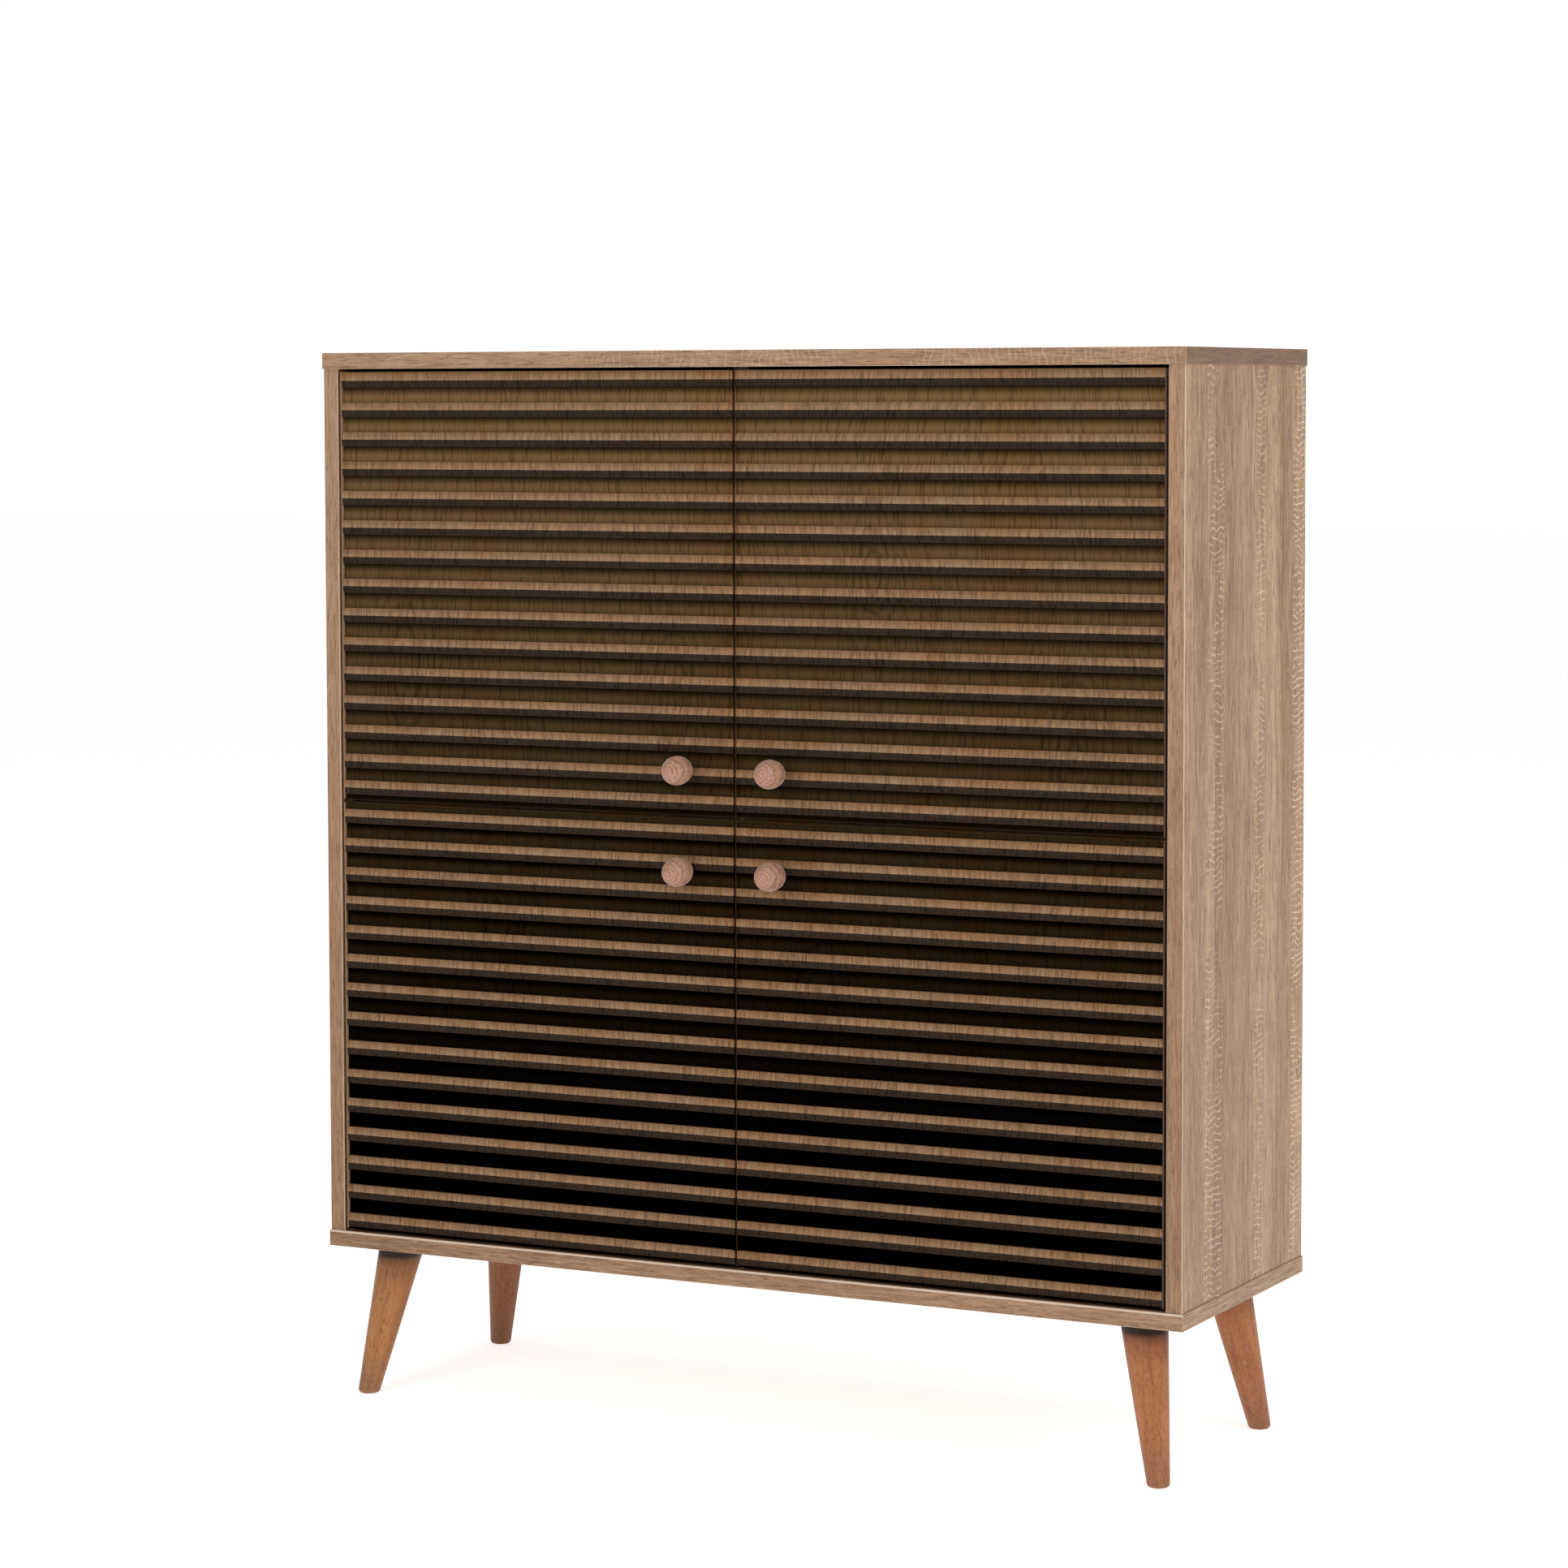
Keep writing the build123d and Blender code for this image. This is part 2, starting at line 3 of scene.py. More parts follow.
import bpy
from mathutils import Matrix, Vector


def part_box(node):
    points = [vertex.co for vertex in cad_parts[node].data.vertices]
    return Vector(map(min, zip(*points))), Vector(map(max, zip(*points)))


# Looks of a shoe cabinet: oak laminate boards, four slatted doors whose ground darkens towards
# the floor, turned beech knobs and legs, and bright hinges inside. Metres. Every pattern is
# laid out in the cabinet's own frame, so it keeps its place when a door turns.

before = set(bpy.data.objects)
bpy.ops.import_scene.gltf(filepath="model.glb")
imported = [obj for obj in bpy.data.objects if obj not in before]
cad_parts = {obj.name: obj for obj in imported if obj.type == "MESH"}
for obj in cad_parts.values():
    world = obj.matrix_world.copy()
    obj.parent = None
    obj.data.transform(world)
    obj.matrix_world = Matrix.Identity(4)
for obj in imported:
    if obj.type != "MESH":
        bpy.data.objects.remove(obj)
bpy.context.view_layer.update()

LEVELS = ("upper", "lower")
SIDES = ("left", "right")
DOORS = [f"{level}_{side}" for level in LEVELS for side in SIDES]
LEGS = [f"{end}_{side}_leg" for end in ("front", "rear") for side in SIDES]

# ---- places on the object ----
SLAT_PITCH = 0.0328
FIRST_RIDGE = {"upper": 1.1488, "lower": 0.6598}   # crease of each level's top slat
UPPER_LAST_RISE = 0.0029     # how much closer an upper door's lowest slat is to the one above
UPPER_LAST_BAND_Z = 0.7040   # the ground above that slat
DARK_FACET = 0.0076          # heights of a slat's two facets
LIGHT_FACET = 0.0082
BOARD_FRONT_Y = -0.153
PANEL_FRONT_Y = -0.1465
DOOR_BOTTOM_Z = 0.1915
DOOR_TOP_Z = 1.1585
LEG_SLOPE = 0.17             # sideways for each metre up, across and along the cabinet
LEG_HEIGHT = 0.17
SIDE_FRONT_Y = -0.1515
SIDE_REAR_Y = 0.197
BOTTOM_BOARD_TOP_Z = 0.188
TOP_BOARD_Z = 1.158
RIM_INNER_X = 0.0032         # inside this, a door's upright rim is at the middle of the cabinet
RIM_OUTER_X = 0.4958         # outside this, it is next to a side
# Where a colour fades in: from the first place to the second.
PANEL_RIM_Y = (PANEL_FRONT_Y - 0.0002, PANEL_FRONT_Y - 0.0006)
PANEL_BACK_Y = (PANEL_FRONT_Y + 0.0002, PANEL_FRONT_Y + 0.0008)
SIDE_FRONT_LINE_Y = (SIDE_FRONT_Y + 0.0016, SIDE_FRONT_Y + 0.0010)
BOTTOM_LIP_Z = (BOTTOM_BOARD_TOP_Z - 0.0026, BOTTOM_BOARD_TOP_Z - 0.0016)
TOP_BOARD_FADE_Z = (TOP_BOARD_Z, TOP_BOARD_Z + 0.002)
# The bottom board's painted highlight, a pale lip, ends here, above and behind.
LIP_HIGHEST_Z = BOTTOM_BOARD_TOP_Z + 0.0001
LIP_REAR_Y = BOARD_FRONT_Y + 0.0012
# A painted shadow darkens each knob where it meets the door.
KNOB_FOOT_SHADE = (0.0110, 0.0080)   # fades in this far in front of the knob's foot


def rgb(red, green, blue):
    """A display colour, 0 to 255, as the linear colour that a shader takes."""
    def linear(value):
        value /= 255
        return value / 12.92 if value <= 0.04045 else ((value + 0.055) / 1.055) ** 2.4
    return (linear(red), linear(green), linear(blue), 1.0)


# ---- colours ----
OAK_DARK = rgb(126, 96, 72)
OAK_MID = rgb(162, 129, 100)
OAK_PALE = rgb(190, 158, 128)
OAK_PORE = rgb(98, 70, 50)
# Painted highlights: on the boards' narrow chamfers and along the sides' front edges.
OAK_ARRIS = rgb(214, 190, 166)
# A painted highlight along the bottom board's upper front edge.
OAK_LIP_HIGHLIGHT = rgb(232, 212, 190)
OAK_END = rgb(98, 74, 62)
OAK_BAND = rgb(132, 92, 62)      # the edge bands are a little darker and warmer than the faces
SAW_MARK = rgb(216, 196, 174)
# A slat's facets: the upper painted as lit, with a painted highlight at the ridge, the lower
# painted as shaded.
SLAT_LIGHT_TOP = rgb(134, 102, 72)
SLAT_RIDGE_HIGHLIGHT = rgb(154, 124, 95)
SLAT_UNDERSIDE_SHADE = rgb(50, 38, 28)
SLAT_PORE = rgb(74, 50, 30)
DOOR_WARM = rgb(255, 226, 196)
# Painted highlight down the left door's outer edge, painted shade down the right door's.
RIM_LEFT_HIGHLIGHT = rgb(150, 118, 90)
RIM_RIGHT_SHADE = rgb(84, 68, 60)
BLACK = (0.0, 0.0, 0.0, 1.0)
BEECH_PALE = rgb(185, 140, 114)
BEECH_RING = rgb(108, 64, 44)
LEG_TOP = rgb(166, 100, 60)
LEG_MID = rgb(182, 119, 76)
LEG_FOOT = rgb(156, 108, 78)
LEG_STREAK = rgb(96, 50, 30)
# Each leg's own tone; the rear left leg's is darker, painted shade from the cabinet above it.
LEG_TONE_AND_SHADE = {"front_left": rgb(246, 255, 240), "front_right": rgb(250, 246, 240),
            "rear_left": rgb(206, 198, 186), "rear_right": rgb(248, 244, 236)}
# How shaded a leg is, by height as a share of its length: the board above it keeps light off.
LEG_SHADE = ((0.70, 0.0), (0.86, 0.22), (0.90, 0.45), (0.93, 0.94), (1.0, 0.96))

# How the doors' ground fades with height: height of each stop and its colour.
GROUND_FADE = (
    (0.250, rgb(1, 1, 1)),
    (0.350, rgb(2, 2, 1)),
    (0.376, rgb(5, 4, 2)),
    (0.508, rgb(28, 20, 9)),
    (0.639, rgb(49, 36, 20)),
    (0.800, rgb(75, 57, 35)),
    (0.964, rgb(99, 76, 48)),
    (1.128, rgb(119, 92, 59)),
)
# Across a side, as a share of its depth from the front: the foil's strips, the joint lines
# between them and the columns that carry saw marks.
STRIP_TONES = ((0.0, 0.50), (0.245, 0.50), (0.255, 0.40), (0.53, 0.42),
               (0.54, 0.57), (0.805, 0.55), (0.815, 0.52), (1.0, 0.57))
STRIP_JOINTS = ((0.246, 0.0), (0.250, 0.55), (0.254, 0.0), (0.531, 0.0), (0.535, 0.55),
                (0.539, 0.0), (0.806, 0.0), (0.810, 0.5), (0.814, 0.0))
SAW_COLUMNS = ((0.17, 0.0), (0.18, 0.62), (0.31, 0.62), (0.32, 0.0), (0.57, 0.0), (0.58, 0.45),
               (0.65, 0.45), (0.66, 0.0), (0.89, 0.0), (0.90, 0.75), (0.98, 0.75), (1.0, 0.4))
# Where the oval figures of the doors' grain have their hearts, as x and height.
FIGURE_CENTRES = {
    "upper": ((-0.415, 0.835), (-0.075, 0.800), (0.165, 0.945), (0.395, 0.760)),
    "lower": ((-0.300, 0.560), (0.100, 0.480), (0.330, 0.330)),
}
OVAL_HALF_WIDTH = 0.030
OVAL_HALF_HEIGHT = 0.080
OVAL_RINGS = 3.1             # rings in each half width
OVAL_WARP = 0.5              # half widths by which the rings wander
# How dark the shade under a slat is, by depth below its ridge as a share of the pitch.
SLAT_SHADE = {
    "upper": ((0.23, 0.12), (0.30, 0.20), (0.37, 0.40), (0.43, 0.62), (0.49, 0.84), (0.56, 1.0)),
    "lower": ((0.23, 0.03), (0.30, 0.06), (0.37, 0.20), (0.43, 0.50), (0.49, 0.80), (0.56, 1.0)),
}
LEAN_REACH = 0.09            # metres by which a door's upright grain leans at most
WHOLE_PITCHES = 8            # added to a depth, so that one above the first ridge isn't negative
STRIP_STRENGTH = 0.5         # how strongly the strips' tones tint a side
# How much of the oak's tone its broad bands, its streaks and its specks each make.
BROAD_SHARE, STREAK_SHARE, SPECK_SHARE = 0.36, 0.54, 0.20
OAK_TONES = ((0.41, OAK_DARK), (0.55, OAK_MID), (0.68, OAK_PALE))
SAW_ROWS = 140.0             # rows of saw marks in a metre
SAW_BEND = 3.0               # rows by which they wander
SAW_FAINT = 0.3              # how strong they are on boards that have them here and there
KNOB_RINGS = 290.0           # growth rings in a metre
KNOB_WARP = 1.6              # rings by which they wander
KNOB_SLANT = 0.7             # sideways for each metre up, of the fibres
LEG_COLOURS = ((0.0, LEG_FOOT), (0.35, LEG_MID), (0.75, LEG_MID), (1.0, LEG_TOP))
PORE_DEPTH = 0.7             # how deep a pore is against the streaks' height
# Heights of the bumps in the foil of the boards and of the doors.
FOIL_RELIEF = 0.00012
DOOR_RELIEF = 0.0001


class Shader:
    """A procedural material. Its methods add nodes and return what comes out of them."""

    def __init__(self, name):
        self.material = bpy.data.materials.new(name)
        self.material.use_nodes = True
        self.tree = self.material.node_tree
        self.surface = self.tree.nodes["Principled BSDF"]
        self.places = self.tree.nodes.new("ShaderNodeTexCoord")

    def feed(self, socket, value):
        """Links a node's output to a socket, or sets the socket to a constant."""
        if isinstance(value, bpy.types.NodeSocket):
            self.tree.links.new(value, socket)
        else:
            socket.default_value = value

    def place(self):
        return self.split(self.places.outputs["Object"])

    def facing(self):
        return self.split(self.places.outputs["Normal"])

    def split(self, vector):
        node = self.tree.nodes.new("ShaderNodeSeparateXYZ")
        self.feed(node.inputs[0], vector)
        return tuple(node.outputs)

    def math(self, operation, *values):
        node = self.tree.nodes.new("ShaderNodeMath")
        node.operation = operation
        for socket, value in zip(node.inputs, values):
            self.feed(socket, value)
        return node.outputs[0]

    def times(self, first, second):
        return self.math("MULTIPLY", first, second)

    def less(self, value, taken):
        return self.math("SUBTRACT", value, taken)

    def spread(self, pattern, span, base):
        """base plus span times a pattern."""
        return self.math("MULTIPLY_ADD", pattern, span, base)

    def along(self, value, start, length):
        """How far along a stretch a value is, as a share of the stretch's length."""
        return self.math("DIVIDE", self.less(value, start), length)

    def distance(self, right, up):
        return self.math("SQRT", self.spread(right, right, self.times(up, up)))

    def wave(self, value):
        """Rises from 0 to 0.5 and falls back, once for each whole number."""
        return self.math("PINGPONG", value, 0.5)

    def step(self, value, low, high):
        """0 below low, 1 above high and a smooth rise between them."""
        node = self.tree.nodes.new("ShaderNodeMapRange")
        node.interpolation_type = "SMOOTHSTEP"
        self.feed(node.inputs["Value"], value)
        node.inputs["From Min"].default_value = low
        node.inputs["From Max"].default_value = high
        return node.outputs["Result"]

    def noise(self, place, scales, detail=2.0, roughness=0.5, distortion=0.0):
        """Noise that has its own scale, in cells per metre, along each of three directions."""
        join = self.tree.nodes.new("ShaderNodeCombineXYZ")
        for socket, value, scale in zip(join.inputs, place, scales):
            self.feed(socket, self.times(value, scale))
        node = self.tree.nodes.new("ShaderNodeTexNoise")
        self.feed(node.inputs["Vector"], join.outputs[0])
        node.inputs["Scale"].default_value = 1.0
        node.inputs["Detail"].default_value = detail
        node.inputs["Roughness"].default_value = roughness
        node.inputs["Distortion"].default_value = distortion
        return node.outputs[0]

    def ramp(self, value, stops):
        """A colour, or a grey for a plain number, that changes with a value."""
        node = self.tree.nodes.new("ShaderNodeValToRGB")
        elements = node.color_ramp.elements
        while len(elements) < len(stops):
            elements.new(0.5)
        for element, (position, colour) in zip(elements, stops):
            element.position = position
            element.color = colour if isinstance(colour, tuple) else (colour,) * 3 + (1.0,)
        self.feed(node.inputs[0], value)
        return node.outputs["Color"]

    def mix(self, amount, first, second, blend="MIX"):
        node = self.tree.nodes.new("ShaderNodeMix")
        node.data_type = "RGBA"
        node.blend_type = blend
        self.feed(node.inputs[0], amount)
        self.feed(node.inputs[6], first)
        self.feed(node.inputs[7], second)
        return node.outputs[2]

    def lay(self, colour, over, where, strength, blend="MIX"):
        """Lays a second colour over the first where a pattern says, no stronger than told."""
        return self.mix(self.times(where, strength), colour, over, blend)

    def finish(self, colour, roughness, height, relief, **constants):
        """Connects the surface. relief is the bump's height in metres."""
        self.feed(self.surface.inputs["Base Color"], colour)
        self.feed(self.surface.inputs["Roughness"], roughness)
        for name, value in constants.items():
            self.surface.inputs[name.replace("_", " ")].default_value = value
        bump = self.tree.nodes.new("ShaderNodeBump")
        bump.inputs["Strength"].default_value = 1.0
        bump.inputs["Distance"].default_value = relief
        self.feed(bump.inputs["Height"], height)
        self.feed(self.surface.inputs["Normal"], bump.outputs[0])
        return self.material


# ---- oak laminate ----
def oak_streaks(sh, place):
    return sh.noise(place, scales=(250, 250, 17), detail=4.0, roughness=0.66, distortion=0.5)


def oak_pores(sh, place):
    """Fine dark dashes. place runs across, across and along the grain."""
    return sh.step(sh.noise(place, scales=(620, 620, 46), roughness=0.6), low=0.54, high=0.66)


def oak_tone(sh, place):
    """How pale the wood is, from broad bands, streaks and specks."""
    broad = sh.noise(place, scales=(22, 22, 1.3), distortion=0.3)
    speck = sh.noise(place, scales=(560, 560, 330), roughness=0.7)
    streak = sh.times(oak_streaks(sh, place), STREAK_SHARE)
    return sh.spread(speck, SPECK_SHARE, sh.spread(broad, BROAD_SHARE, streak))


def saw_columns(sh, place):
    """Where the saw's marks lie, on boards that have them here and there."""
    column = sh.noise(place, scales=(15, 15, 1.1), detail=0.0)
    return sh.times(sh.step(column, low=0.56, high=0.61), SAW_FAINT)


def saw_marks(sh, place, columns):
    """Short pale ticks across the grain, in columns, where the saw left its marks."""
    across, other, along = place
    bend = sh.noise(place, scales=(45, 45, 24))
    rows = sh.spread(along, SAW_ROWS, sh.times(bend, SAW_BEND))
    tick = sh.step(sh.wave(rows), low=0.34, high=0.45)
    patch = sh.noise((along, across, other), scales=(9, 12, 12), detail=1.0)
    patch = sh.step(patch, low=0.36, high=0.50)
    broken = sh.step(sh.noise(place, scales=(75, 75, 95)), low=0.38, high=0.52)
    return sh.times(sh.times(tick, columns), sh.times(patch, broken))


def oak_colour(sh, place, columns=None):
    """The laminate's colour and the height of its pores."""
    pore = oak_pores(sh, place)
    fleck = sh.noise(place, scales=(380, 380, 75), detail=1.0)
    fleck = sh.step(fleck, low=0.58, high=0.70)
    colour = sh.ramp(oak_tone(sh, place), OAK_TONES)
    colour = sh.lay(colour, OAK_PALE, fleck, strength=0.40)
    colour = sh.lay(colour, OAK_PORE, pore, strength=0.72)
    if columns is None:
        columns = saw_columns(sh, place)
    colour = sh.mix(saw_marks(sh, place, columns), colour, SAW_MARK)
    height = sh.less(oak_streaks(sh, place), sh.times(pore, PORE_DEPTH))
    return colour, height


def arris_highlight(sh, colour, strength):
    """Paints a highlight on the narrow chamfers, where the foil of two faces meets."""
    x, y, z = sh.facing()
    squared = [sh.times(part, part) for part in (x, y, z)]
    largest = sh.math("MAXIMUM", sh.math("MAXIMUM", squared[0], squared[1]), squared[2])
    chamfer = sh.step(largest, low=0.95, high=0.80)
    return sh.lay(colour, OAK_ARRIS, chamfer, strength)


def edge_band(sh, colour, strength):
    """Warms and darkens the banded edges, which face the front."""
    forward = sh.step(sh.facing()[1], low=-0.80, high=-0.95)
    return sh.lay(colour, OAK_BAND, forward, strength)


def foil(sh, colour, height):
    rough = sh.spread(height, span=0.18, base=0.42)
    return sh.finish(colour, rough, height, FOIL_RELIEF, Specular_IOR_Level=0.25)


def oak_upright():
    """Boards whose grain stands upright: the sides and the divider."""
    sh = Shader("oak_upright")
    x, y, z = sh.place()
    share = sh.along(y, SIDE_FRONT_Y, SIDE_REAR_Y - SIDE_FRONT_Y)
    colour, height = oak_colour(sh, (x, y, z), sh.ramp(share, SAW_COLUMNS))
    colour = sh.mix(STRIP_STRENGTH, colour, sh.ramp(share, STRIP_TONES), "OVERLAY")
    colour = sh.mix(sh.ramp(share, STRIP_JOINTS), colour, OAK_PORE)
    colour = edge_band(sh, colour, strength=0.40)
    # A painted highlight along the outer face of each side, next to its front edge.
    outward = sh.step(sh.math("ABSOLUTE", sh.facing()[0]), low=0.5, high=0.7)
    front_highlight = sh.times(sh.step(y, *SIDE_FRONT_LINE_Y), outward)
    colour = sh.lay(colour, OAK_ARRIS, front_highlight, strength=0.45)
    return foil(sh, arris_highlight(sh, colour, strength=0.6), height)


def bottom_lip_highlight(sh, y, z):
    """A painted highlight: the thin pale line along the bottom board's upper front edge."""
    below = sh.math("LESS_THAN", z, LIP_HIGHEST_Z)
    ahead = sh.math("LESS_THAN", y, LIP_REAR_Y)
    return sh.times(sh.step(z, *BOTTOM_LIP_Z), sh.times(below, ahead))


def oak_level():
    """Boards whose grain runs along the cabinet, and along their short ends."""
    sh = Shader("oak_level")
    x, y, z = sh.place()
    at_end = sh.step(sh.math("ABSOLUTE", sh.facing()[0]), low=0.60, high=0.80)
    along = sh.math("ADD", sh.times(at_end, sh.less(y, x)), x)
    across = sh.math("ADD", sh.times(at_end, sh.less(x, y)), y)
    colour, height = oak_colour(sh, (across, z, along))
    end_shade = sh.spread(sh.step(z, *TOP_BOARD_FADE_Z), span=0.56, base=0.12)
    colour = sh.mix(sh.times(at_end, end_shade), colour, OAK_END)
    colour = edge_band(sh, colour, strength=0.25)
    # Painted highlight on the bottom board's upper front edge.
    colour = sh.lay(colour, OAK_LIP_HIGHLIGHT, bottom_lip_highlight(sh, y, z), strength=0.65)
    return foil(sh, arris_highlight(sh, colour, strength=0.3), height)


# ---- doors ----
def leaning(sh, place):
    """The place, shifted sideways here and there so that the upright grain leans."""
    x, y, z = place
    lean = sh.noise(place, scales=(5, 5, 3.2), detail=1.0, roughness=0.4)
    return sh.spread(lean, LEAN_REACH, x), y, z


def door_ticks(sh, place):
    """Short, fine, dark ticks."""
    tick = sh.noise(leaning(sh, place), scales=(590, 590, 38), detail=3.0, roughness=0.65,
                    distortion=0.2)
    return sh.step(tick, low=0.48, high=0.64)


def door_streaks(sh, place):
    return sh.noise(leaning(sh, place), scales=(270, 270, 13), detail=4.0, roughness=0.68,
                    distortion=0.3)


def oval_rings(sh, place, warp, centre):
    """Nested upright ovals round one heart of the grain, fading outwards."""
    x, y, z = place
    across = sh.along(x, centre[0], OVAL_HALF_WIDTH)
    up = sh.along(z, centre[1], OVAL_HALF_HEIGHT)
    distance = sh.math("ADD", sh.distance(across, up), warp)
    line = sh.step(sh.wave(sh.times(distance, OVAL_RINGS)), low=0.22, high=0.48)
    return sh.times(line, sh.step(distance, low=2.4, high=0.4))


def door_figure(sh, place, level, colour, dark):
    """Lays warm upright bands and large ovals over a colour of the door."""
    band = sh.step(sh.noise(leaning(sh, place), scales=(17, 17, 0.9)), low=0.44, high=0.62)
    warp = sh.times(sh.noise(place, scales=(30, 30, 14)), OVAL_WARP)
    ovals = 0.0
    for centre in FIGURE_CENTRES[level]:
        ovals = sh.math("MAXIMUM", oval_rings(sh, place, warp, centre), ovals)
    colour = sh.lay(colour, DOOR_WARM, band, strength=0.35, blend="MULTIPLY")
    return sh.lay(colour, dark, ovals, strength=0.36)


def below_ridge(sh, height, level):
    """Depth below the nearest ridge above, as a share of the slats' pitch."""
    depth = sh.less(FIRST_RIDGE[level], height)
    if level == "upper":
        in_last_band = sh.math("LESS_THAN", height, UPPER_LAST_BAND_Z)
        depth = sh.spread(in_last_band, UPPER_LAST_RISE, depth)
    depth = sh.math("ADD", depth, SLAT_PITCH * WHOLE_PITCHES)
    return sh.math("FRACT", sh.math("DIVIDE", depth, SLAT_PITCH))


def fading_ground(sh, place, depth, level):
    """The ground between the slats, shaded under each of them and darker towards the floor."""
    span = DOOR_TOP_Z - DOOR_BOTTOM_Z
    share = sh.along(place[2], DOOR_BOTTOM_Z, span)
    stops = [((height - DOOR_BOTTOM_Z) / span, colour) for height, colour in GROUND_FADE]
    shade = sh.ramp(depth, SLAT_SHADE[level])
    ground = sh.mix(1.0, sh.ramp(share, stops), shade, "MULTIPLY")
    ground = sh.lay(ground, BLACK, door_ticks(sh, place), strength=0.42)
    return door_figure(sh, place, level, ground, BLACK)


def lit_facet(sh, place, depth, level):
    """The upper facet of a slat, painted as lit, with a painted highlight at its ridge."""
    pale = sh.mix(sh.step(depth, low=0.75, high=1.0), SLAT_LIGHT_TOP, SLAT_RIDGE_HIGHLIGHT)
    streak = sh.step(door_streaks(sh, place), low=0.35, high=0.70)
    pale = sh.lay(pale, SLAT_PORE, streak, strength=0.40)
    pale = door_figure(sh, place, level, pale, SLAT_PORE)
    return sh.lay(pale, SLAT_PORE, door_ticks(sh, place), strength=0.55)


def shaded_facet(sh, place):
    """The lower facet of a slat, painted dark as shade."""
    return sh.lay(SLAT_UNDERSIDE_SHADE, BLACK, door_ticks(sh, place), strength=0.6)


def door_rim(sh, place, depth, level, ground):
    """The rim: the slats' painted lit and shaded facets run on at the middle of the cabinet, with
    a painted highlight line down the left side and painted shade down the right side.
    """
    x = place[0]
    in_pale = sh.math("GREATER_THAN", depth, 1.0 - LIGHT_FACET / SLAT_PITCH)
    in_dark = sh.math("LESS_THAN", depth, DARK_FACET / SLAT_PITCH)
    slats_run_on = sh.math("LESS_THAN", sh.math("ABSOLUTE", x), RIM_INNER_X)
    rim = sh.mix(in_pale, ground, lit_facet(sh, place, depth, level))
    rim = sh.mix(in_dark, rim, shaded_facet(sh, place))
    rim = sh.mix(slats_run_on, ground, rim)
    rim = sh.mix(sh.math("GREATER_THAN", x, RIM_OUTER_X), rim, RIM_RIGHT_SHADE)
    return sh.mix(sh.math("LESS_THAN", x, -RIM_OUTER_X), rim, RIM_LEFT_HIGHLIGHT)


def door_ground(level):
    """A door's panel: the fading ground between slats, its rim, and oak on its back."""
    sh = Shader(f"{level}_door_ground")
    place = sh.place()
    y = place[1]
    depth = below_ridge(sh, place[2], level)
    ground = fading_ground(sh, place, depth, level)
    rim = door_rim(sh, place, depth, level, ground)
    front = sh.mix(sh.step(y, *PANEL_RIM_Y), ground, rim)
    oak, height = oak_colour(sh, place)
    colour = sh.mix(sh.step(y, *PANEL_BACK_Y), front, oak)
    rough = sh.spread(height, span=0.2, base=0.45)
    return sh.finish(colour, rough, height, DOOR_RELIEF, Specular_IOR_Level=0.0)


def door_slats(level):
    """Slats with an upper facet painted as lit and a lower one painted as shaded."""
    sh = Shader(f"{level}_door_slats")
    place = sh.place()
    streak = door_streaks(sh, place)
    pale = lit_facet(sh, place, below_ridge(sh, place[2], level), level)
    # Painted light and shade: facets that face up get the lit colour, those that face down the
    # shaded one.
    upward = sh.step(sh.facing()[2], low=-0.03, high=0.01)
    colour = sh.mix(upward, shaded_facet(sh, place), pale)
    rough = sh.spread(streak, span=0.2, base=0.42)
    return sh.finish(colour, rough, streak, DOOR_RELIEF, Specular_IOR_Level=0.04)


# ---- turned beech ----
def knob_beech(door):
    """Raw beech: growth rings round the knob's tip and fine slanting fibres on its flank, with a
    painted shadow at its foot.
    """
    sh = Shader(f"{door}_knob_beech")
    low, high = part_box(f"{door}_knob")
    x, y, z = place = sh.place()
    right = sh.less(x, (low.x + high.x) / 2)
    up = sh.less(z, (low.z + high.z) / 2)
    warp = sh.noise(place, scales=(130, 130, 130))
    layer = sh.spread(sh.distance(right, up), KNOB_RINGS, sh.times(warp, KNOB_WARP))
    ring = sh.step(sh.wave(layer), low=0.20, high=0.46)
    slanted = (sh.spread(z, KNOB_SLANT, x), y, z)
    fibre = sh.noise(slanted, scales=(1100, 520, 60), detail=3.0, roughness=0.6)
    colour = sh.lay(BEECH_PALE, BEECH_RING, ring, strength=0.5)
    colour = sh.lay(colour, BEECH_RING, sh.step(fibre, low=0.42, high=0.66), strength=0.5)
    # Painted shadow: the knob darkens towards its foot, where it meets the door.
    foot = sh.step(y, *(high.y - ahead for ahead in KNOB_FOOT_SHADE))
    colour = sh.lay(colour, BLACK, foot, strength=0.85)
    rough = sh.spread(fibre, span=0.15, base=0.5)
    return sh.finish(colour, rough, fibre, relief=0.00015, Sheen_Weight=0.25, Sheen_Roughness=0.4)


